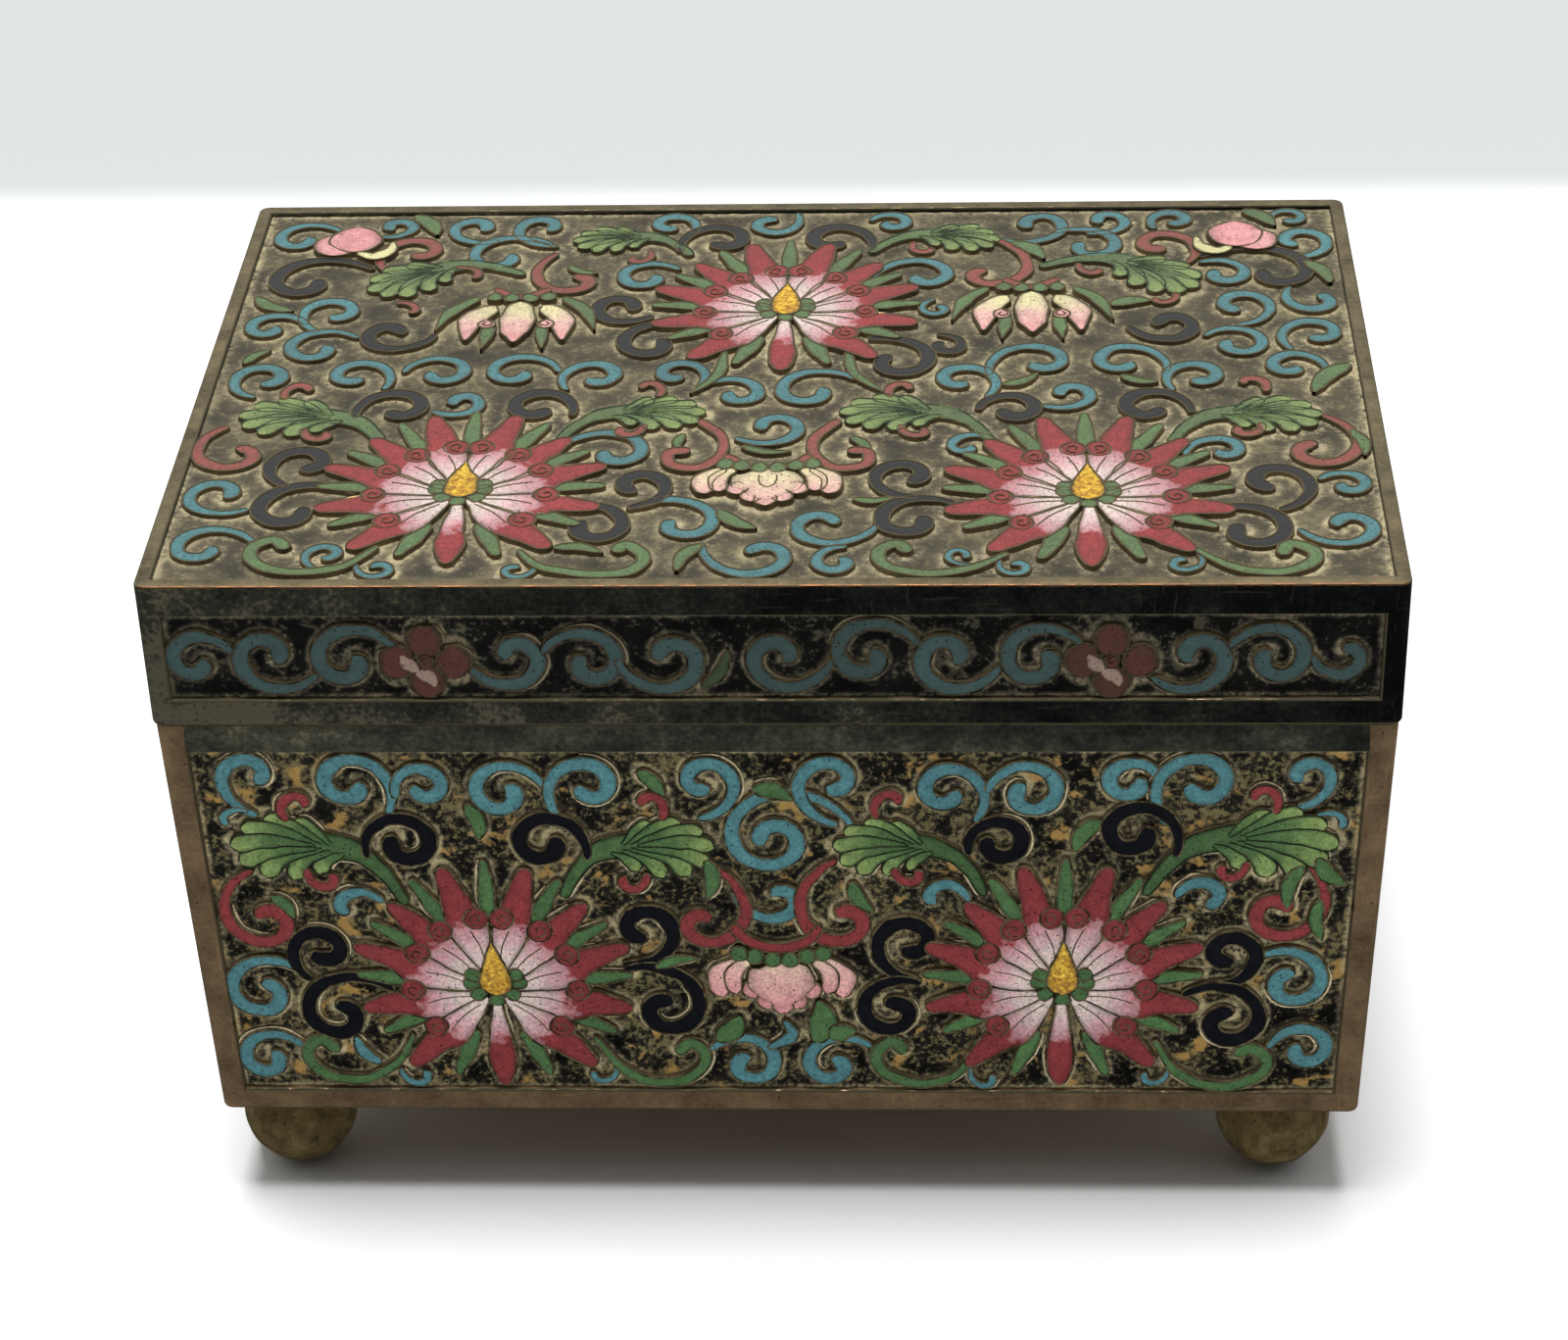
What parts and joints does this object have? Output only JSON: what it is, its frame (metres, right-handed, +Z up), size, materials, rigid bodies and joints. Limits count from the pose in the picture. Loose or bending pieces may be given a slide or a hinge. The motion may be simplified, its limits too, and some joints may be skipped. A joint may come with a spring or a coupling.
{
  "type": "cloisonne enamel box",
  "caption": "Rectangular enamelled metal box with a lift-off lid, sunk panels of raised lotus scrollwork and ball feet.",
  "frame": {"origin": "on the ground under the middle of the box, level with the undersides of the feet", "axes": "+X along the long side to the right as seen from the front, +Y to the back, +Z up"},
  "size_m": [0.152, 0.101, 0.0963],
  "materials": {
    "lid_metal": "tarnished copper alloy, matte with worn edges",
    "body_metal": "aged brown copper alloy, satin with darker pits",
    "foot_brass": "olive-brown patinated brass, lightly pitted",
    "enamel": "opaque fired enamel in brass wire cells"
  },
  "bodies": {
    "root": {"lid": "lid_metal", "box_body": "body_metal", "foot_front_left": "foot_brass", "foot_front_right": "foot_brass", "foot_back_left": "foot_brass", "foot_back_right": "foot_brass"}
  },
  "joints": []
}
